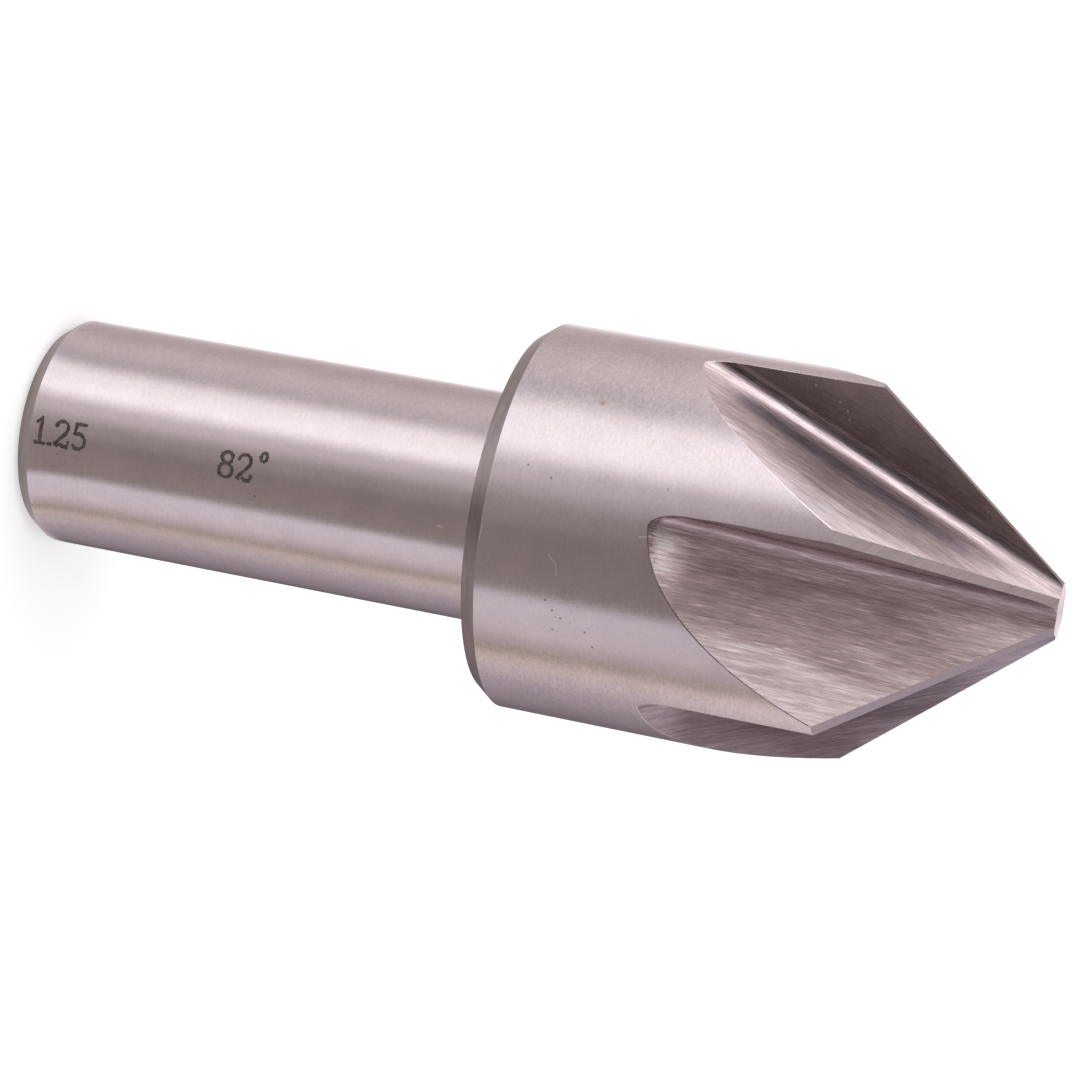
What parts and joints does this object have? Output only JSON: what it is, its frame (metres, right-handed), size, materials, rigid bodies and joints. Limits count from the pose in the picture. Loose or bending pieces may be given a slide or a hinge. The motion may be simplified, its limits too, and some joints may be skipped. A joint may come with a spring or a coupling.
{
  "type": "countersink bit",
  "caption": "Straight-fluted countersink bit of ground tool steel: round shank, thicker round head, and a cone of cutting edges ending in a small flat.",
  "frame": {"origin": "centre of the shank's end face, which the bit stands on", "axes": "+Z along the bit's axis, from the shank's end to the point; -Y is the side that the picture sees"},
  "size_m": [0.0318, 0.0318, 0.0857],
  "materials": {
    "ground_steel": "finely ground, with a satin sheen"
  },
  "bodies": {
    "root": {"countersink": "ground_steel"}
  },
  "joints": []
}
